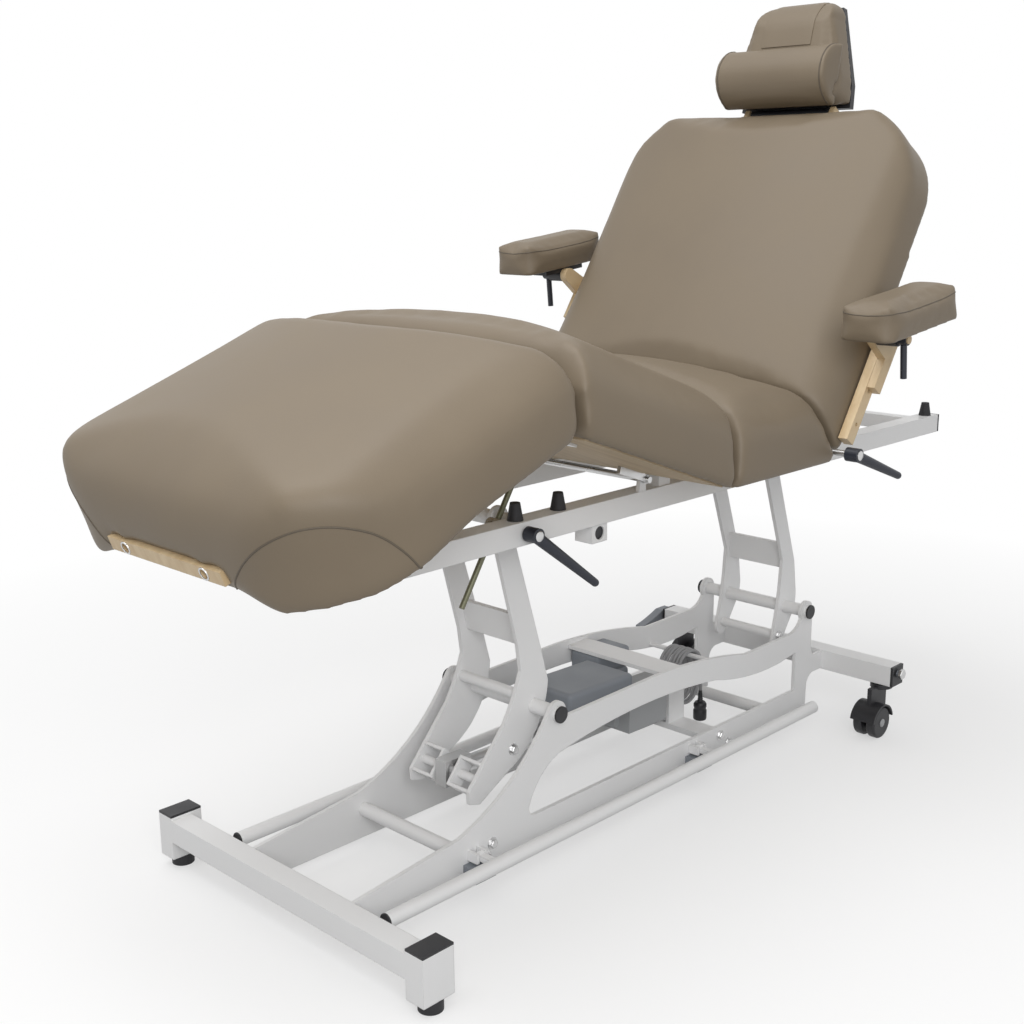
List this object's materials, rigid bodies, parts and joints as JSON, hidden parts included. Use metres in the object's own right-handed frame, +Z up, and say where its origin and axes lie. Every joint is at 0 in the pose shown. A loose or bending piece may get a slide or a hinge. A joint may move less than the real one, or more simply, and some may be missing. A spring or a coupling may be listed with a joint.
{
  "type": "electric massage table",
  "caption": "Powered massage table with knee-break and reclining sections on a parallel-arm lift, with armrests, headrest, foot bars and casters.",
  "frame": {"origin": "Centre of the bounding box on the floor", "axes": "+X runs from the foot end to the head end, +Y to the user's left when lying face up, +Z up"},
  "size_m": [1.9986, 1.0188, 1.5471],
  "materials": {
    "vinyl": "smooth taupe upholstery vinyl",
    "white": "white powder coat",
    "birch": "pale lacquered birch",
    "ply": "bare plywood",
    "black": "black moulded plastic",
    "rubber": "black rubber",
    "navy": "blue-black glass-filled handle",
    "steel": "bright steel",
    "olive": "oiled dark steel",
    "grey": "grey cast housing",
    "cover": "blue-grey moulded cover",
    "cord": "grey cord sheath",
    "brake": "grey moulded pedal"
  },
  "bodies": {
    "base": {"front_crossbar": "white", "front_glides": "rubber", "rear_crossbar": "white", "base_end_caps": "black", "side_plate_right": "white", "side_plate_left": "white", "base_cross_members": "white", "base_brackets": "white", "foot_switches": "cover", "control_box": "cover", "cord_hank": "cord", "mains_plug": "black"},
    "foot_bar_right": {"foot_bar_right": "white"},
    "foot_bar_left": {"foot_bar_left": "white"},
    "front_arms": {"front_arm_plates": "white", "front_arm_cross_members": "white"},
    "rear_arms": {"rear_arm_plates": "white", "rear_arm_cross_members": "white"},
    "upper_frame": {"frame_rails": "white", "frame_cross_tubes": "white", "rail_rubbers": "rubber", "frame_brackets": "white", "hinge_pins": "steel", "seat_board": "ply", "seat_cushion": "vinyl"},
    "thigh": {"thigh_board": "ply", "thigh_cushion": "vinyl", "thigh_hinges": "steel"},
    "leg": {"leg_board": "ply", "leg_cushion": "vinyl", "leg_end_strip": "birch", "leg_hinges": "steel"},
    "back": {"back_board": "ply", "back_cushion": "vinyl", "back_hinges": "steel", "armrest_guides": "birch"},
    "headrest_carriage": {"headrest_dowels": "birch"},
    "headrest": {"headrest_base": "black", "headrest_pad": "vinyl", "headrest_bolster": "vinyl"},
    "prop_clamp": {"prop_clamp": "steel"},
    "prop_rod": {"prop_rod": "olive"},
    "knee_lever": {"knee_clamp_lever": "navy"},
    "back_lever": {"back_clamp_lever": "navy"},
    "brake": {"brake_pedal": "brake"},
    "actuator": {"actuator_housing": "grey", "actuator_cover": "cover"},
    "actuator_rod": {"actuator_rod": "steel"},
    "armrest_carrier_right": {"armrest_carrier_right": "birch"},
    "armrest_right": {"armrest_saddle_right": "black", "armrest_pad_right": "vinyl"},
    "armrest_lever_right": {"armrest_lever_right": "navy"},
    "caster_right": {"caster_fork_right": "black"},
    "caster_wheels_right": {"caster_wheels_right": "black"},
    "armrest_carrier_left": {"armrest_carrier_left": "birch"},
    "armrest_left": {"armrest_saddle_left": "black", "armrest_pad_left": "vinyl"},
    "armrest_lever_left": {"armrest_lever_left": "navy"},
    "caster_left": {"caster_fork_left": "black"},
    "caster_wheels_left": {"caster_wheels_left": "black"}
  },
  "joints": [
    {"name": "lift", "type": "hinge", "parent": "base", "child": "front_arms", "pos_m": [-0.297, 0, 0.268], "axis": [0, -1, 0], "range_deg": [-9, 55]},
    {"name": "frame_level", "type": "hinge", "parent": "front_arms", "child": "upper_frame", "pos_m": [-0.381, 0, 0.632], "axis": [0, -1, 0], "range_deg": [-55, 9]},
    {"name": "rear_lift", "type": "hinge", "parent": "base", "child": "rear_arms", "pos_m": [0.517, 0, 0.268], "axis": [0, -1, 0], "range_deg": [-9, 55]},
    {"name": "actuator_swing", "type": "hinge", "parent": "base", "child": "actuator", "pos_m": [0.191, 0, 0.145], "axis": [0, -1, 0], "range_deg": [-1.42, 8.41]},
    {"name": "actuator_extend", "type": "slide", "parent": "actuator", "child": "actuator_rod", "axis": [-0.9996, 0, 0.0289], "range_m": [-0.14257, 0.02375]},
    {"name": "thigh_tilt", "type": "hinge", "parent": "upper_frame", "child": "thigh", "pos_m": [-0.112, 0, 0.673], "axis": [0, 1, 0], "range_deg": [-20.15, 3]},
    {"name": "leg_tilt", "type": "hinge", "parent": "thigh", "child": "leg", "pos_m": [-0.50111, 0, 0.89567], "axis": [0, 1, 0], "range_deg": [-6.18, 41.2]},
    {"name": "prop_swing", "type": "hinge", "parent": "upper_frame", "child": "prop_clamp", "pos_m": [-0.416, 0, 0.63], "axis": [0, -1, 0], "range_deg": [-21.71, 3.27]},
    {"name": "prop_slide", "type": "slide", "parent": "prop_clamp", "child": "prop_rod", "axis": [0.5406, 0, 0.8413], "range_m": [-0.06996, 0.01084]},
    {"name": "back_recline", "type": "hinge", "parent": "upper_frame", "child": "back", "pos_m": [0.209, 0, 0.7], "axis": [0, -1, 0], "range_deg": [-56, 4]},
    {"name": "armrest_slide_right", "type": "slide", "parent": "back", "child": "armrest_carrier_right", "axis": [0.5592, 0, 0.829], "range_m": [-0.057, 0.004]},
    {"name": "armrest_tilt_right", "type": "hinge", "parent": "armrest_carrier_right", "child": "armrest_right", "pos_m": [0.27781, 0, 0.90931], "axis": [0, -1, 0], "range_deg": [-25, 40]},
    {"name": "armrest_clamp_right", "type": "hinge", "parent": "armrest_carrier_right", "child": "armrest_lever_right", "pos_m": [0.27781, 0, 0.90931], "axis": [0, -1, 0], "range_deg": [-45, 45]},
    {"name": "armrest_slide_left", "type": "slide", "parent": "back", "child": "armrest_carrier_left", "axis": [0.5592, 0, 0.829], "range_m": [-0.193, 0.004]},
    {"name": "armrest_tilt_left", "type": "hinge", "parent": "armrest_carrier_left", "child": "armrest_left", "pos_m": [0.32981, 0, 0.98641], "axis": [0, -1, 0], "range_deg": [-25, 40]},
    {"name": "armrest_clamp_left", "type": "hinge", "parent": "armrest_carrier_left", "child": "armrest_lever_left", "pos_m": [0.32981, 0, 0.98641], "axis": [0, -1, 0], "range_deg": [-45, 45]},
    {"name": "headrest_slide", "type": "slide", "parent": "back", "child": "headrest_carriage", "axis": [0.5592, 0, 0.829], "range_m": [0, 0.085]},
    {"name": "headrest_tilt", "type": "hinge", "parent": "headrest_carriage", "child": "headrest", "pos_m": [0.59041, 0, 1.32448], "axis": [0, -1, 0], "range_deg": [-20, 10]},
    {"name": "foot_bar_rock_right", "type": "hinge", "parent": "base", "child": "foot_bar_right", "pos_m": [-0.201, -0.152, 0.077], "axis": [1, 0, 0], "range_deg": [-5, 5], "stiffness_Nm_per_rad": 200},
    {"name": "foot_bar_rock_left", "type": "hinge", "parent": "base", "child": "foot_bar_left", "pos_m": [-0.201, 0.152, 0.077], "axis": [1, 0, 0], "range_deg": [-5, 5], "stiffness_Nm_per_rad": 200},
    {"name": "caster_swivel_right", "type": "hinge", "parent": "base", "child": "caster_right", "pos_m": [0.609, -0.277, 0.11], "axis": [0, 0, 1], "continuous": true},
    {"name": "caster_roll_right", "type": "hinge", "parent": "caster_right", "child": "caster_wheels_right", "pos_m": [0.573, -0.277, 0.035], "axis": [0, 1, 0], "continuous": true},
    {"name": "caster_swivel_left", "type": "hinge", "parent": "base", "child": "caster_left", "pos_m": [0.609, 0.277, 0.11], "axis": [0, 0, 1], "continuous": true},
    {"name": "caster_roll_left", "type": "hinge", "parent": "caster_left", "child": "caster_wheels_left", "pos_m": [0.645, 0.277, 0.035], "axis": [0, 1, 0], "continuous": true},
    {"name": "brake_turn", "type": "hinge", "parent": "base", "child": "brake", "pos_m": [0.609, 0, 0.143], "axis": [0, 1, 0], "range_deg": [-18, 18]},
    {"name": "knee_clamp", "type": "hinge", "parent": "upper_frame", "child": "knee_lever", "pos_m": [-0.416, 0, 0.63], "axis": [0, 1, 0], "range_deg": [-45, 45]},
    {"name": "back_clamp", "type": "hinge", "parent": "upper_frame", "child": "back_lever", "pos_m": [0.209, 0, 0.7], "axis": [0, 1, 0], "range_deg": [-4, 40]}
  ],
  "couplings": [
    {"joint": "frame_level", "follows": "lift", "ratio": -1},
    {"joint": "rear_lift", "follows": "lift", "ratio": 1},
    {"joint": "actuator_swing", "follows": "lift", "ratio": 0.152},
    {"joint": "actuator_extend", "follows": "lift", "m_per_rad": -0.148},
    {"joint": "leg_tilt", "follows": "thigh_tilt", "ratio": -2.0422},
    {"joint": "prop_swing", "follows": "thigh_tilt", "ratio": 1.075},
    {"joint": "prop_slide", "follows": "thigh_tilt", "m_per_rad": 0.1975}
  ]
}
